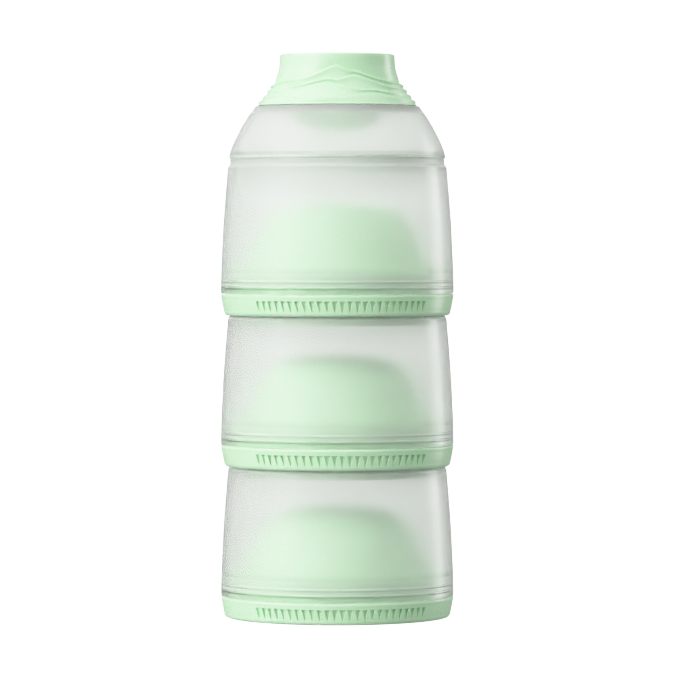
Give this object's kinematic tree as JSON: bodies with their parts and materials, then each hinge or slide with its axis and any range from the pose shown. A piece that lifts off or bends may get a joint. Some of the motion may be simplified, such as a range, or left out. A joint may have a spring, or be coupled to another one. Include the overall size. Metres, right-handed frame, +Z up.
{
  "type": "formula dispenser",
  "caption": "Stacking powder formula dispenser: frosted tiers with domed screw-on bases, a funnel lid with a spout, and a flared push-on cap.",
  "frame": {"origin": "centre of the circle that the bottom base stands on", "axes": "+Z up along the stack's axis; the front faces -Y"},
  "size_m": [0.0804, 0.0804, 0.1938],
  "materials": {
    "frosted_wall": "frosted translucent polypropylene",
    "green_plastic": "fine satin moulding",
    "seal": "translucent white silicone"
  },
  "bodies": {
    "bottom_tier": {"bottom_base": "green_plastic", "bottom_base_seal": "seal", "bottom_shell": "frosted_wall"},
    "middle_neck_ring": {"middle_neck_seal": "seal"},
    "middle_tier": {"middle_base": "green_plastic", "middle_base_seal": "seal", "middle_shell": "frosted_wall"},
    "top_neck_ring": {"top_neck_seal": "seal"},
    "top_tier": {"top_base": "green_plastic", "top_base_seal": "seal", "top_shell": "frosted_wall"},
    "funnel_neck_ring": {"funnel_seal": "seal"},
    "funnel_lid": {"funnel": "frosted_wall"},
    "cap_assembly": {"cap": "green_plastic", "cap_plug": "green_plastic", "cap_seal": "seal"}
  },
  "joints": [
    {"name": "middle_tier_rise", "type": "slide", "parent": "bottom_tier", "child": "middle_neck_ring", "axis": [0, 0, 1], "range_m": [0, 0.0056]},
    {"name": "middle_tier_screw", "type": "hinge", "parent": "middle_neck_ring", "child": "middle_tier", "pos_m": [0, 0, 0.052], "axis": [0, 0, 1], "range_deg": [0, 360]},
    {"name": "top_tier_rise", "type": "slide", "parent": "middle_tier", "child": "top_neck_ring", "axis": [0, 0, 1], "range_m": [0, 0.0056]},
    {"name": "top_tier_screw", "type": "hinge", "parent": "top_neck_ring", "child": "top_tier", "pos_m": [0, 0, 0.104], "axis": [0, 0, 1], "range_deg": [0, 360]},
    {"name": "funnel_rise", "type": "slide", "parent": "top_tier", "child": "funnel_neck_ring", "axis": [0, 0, 1], "range_m": [0, 0.0056]},
    {"name": "funnel_screw", "type": "hinge", "parent": "funnel_neck_ring", "child": "funnel_lid", "pos_m": [0, 0, 0.156], "axis": [0, 0, 1], "range_deg": [0, 360]},
    {"name": "cap_pull", "type": "slide", "parent": "funnel_lid", "child": "cap_assembly", "axis": [0, 0, 1], "range_m": [0, 0.018]}
  ],
  "couplings": [
    {"joint": "middle_tier_rise", "follows": "middle_tier_screw", "m_per_rad": 0.00089127},
    {"joint": "top_tier_rise", "follows": "top_tier_screw", "m_per_rad": 0.00089127},
    {"joint": "funnel_rise", "follows": "funnel_screw", "m_per_rad": 0.00089127}
  ]
}
